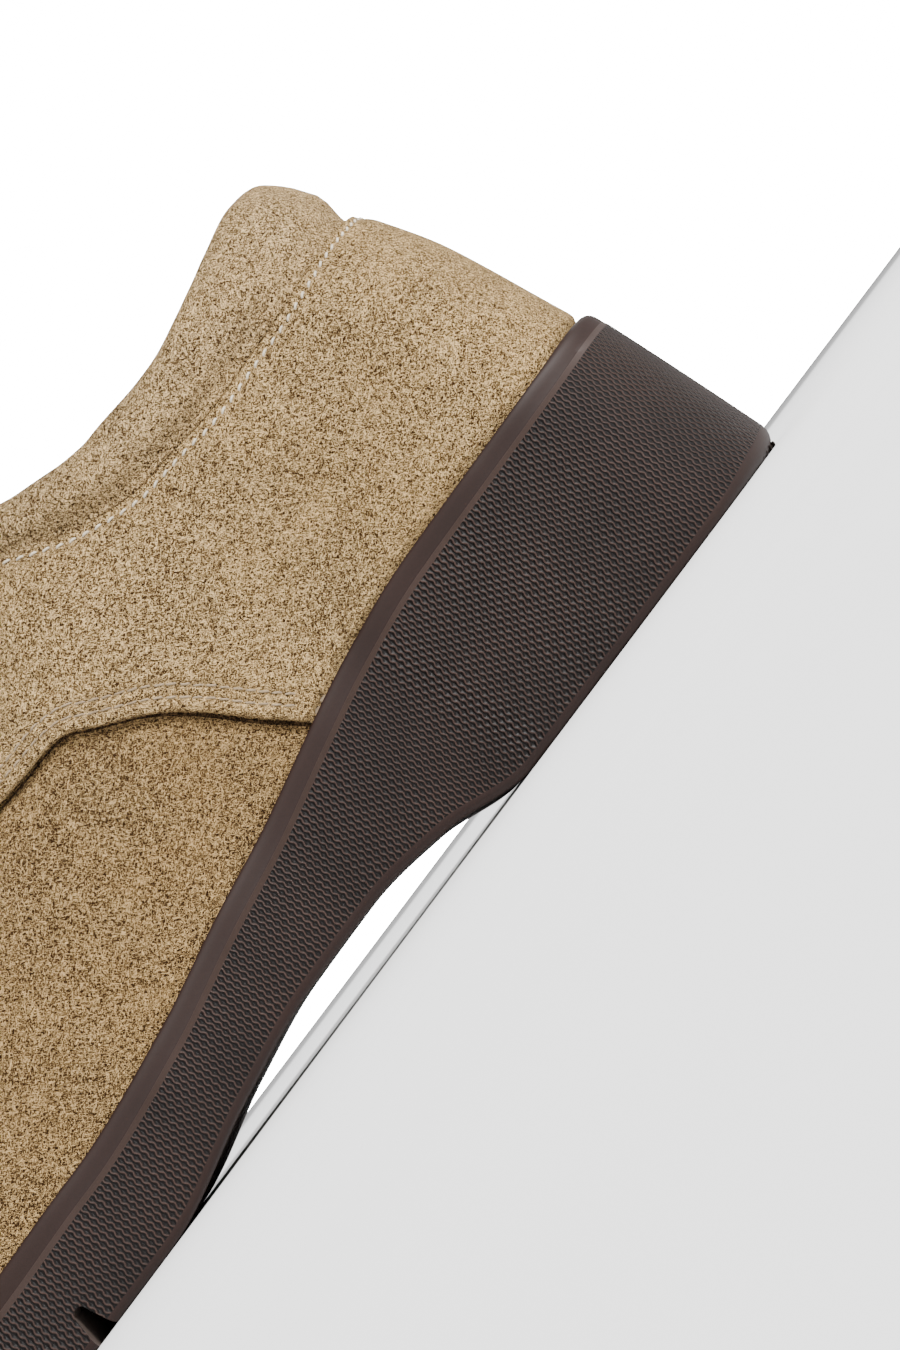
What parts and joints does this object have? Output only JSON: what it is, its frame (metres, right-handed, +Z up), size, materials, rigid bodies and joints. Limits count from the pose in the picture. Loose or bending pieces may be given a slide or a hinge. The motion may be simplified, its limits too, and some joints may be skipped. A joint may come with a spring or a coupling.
{
  "type": "shoe",
  "caption": "Low suede derby shoe for the left foot with a padded collar and a moulded rubber unit sole.",
  "frame": {"origin": "centre of the footprint of the whole shoe, on the floor it stands on", "axes": "+X from heel to toe, +Y to the outer side of the left foot, +Z up"},
  "size_m": [0.301, 0.1058, 0.1198],
  "materials": {
    "sole_rubber": "dark brown moulded rubber, fine wavy grain on the wall, semi-matt",
    "upper_suede": "tan suede with a short dense nap",
    "collar_suede": "tan suede over soft padding",
    "tongue_suede": "tan suede, padded",
    "insole_lining": "smooth beige lining leather",
    "lace_cord": "round woven taupe cord"
  },
  "bodies": {
    "root": {"sole": "sole_rubber", "upper": "upper_suede", "collar": "collar_suede", "tongue": "tongue_suede", "insole": "insole_lining", "lace_bar_1": "lace_cord", "lace_bar_2": "lace_cord", "lace_bar_3": "lace_cord", "lace_bar_4": "lace_cord"}
  },
  "joints": []
}
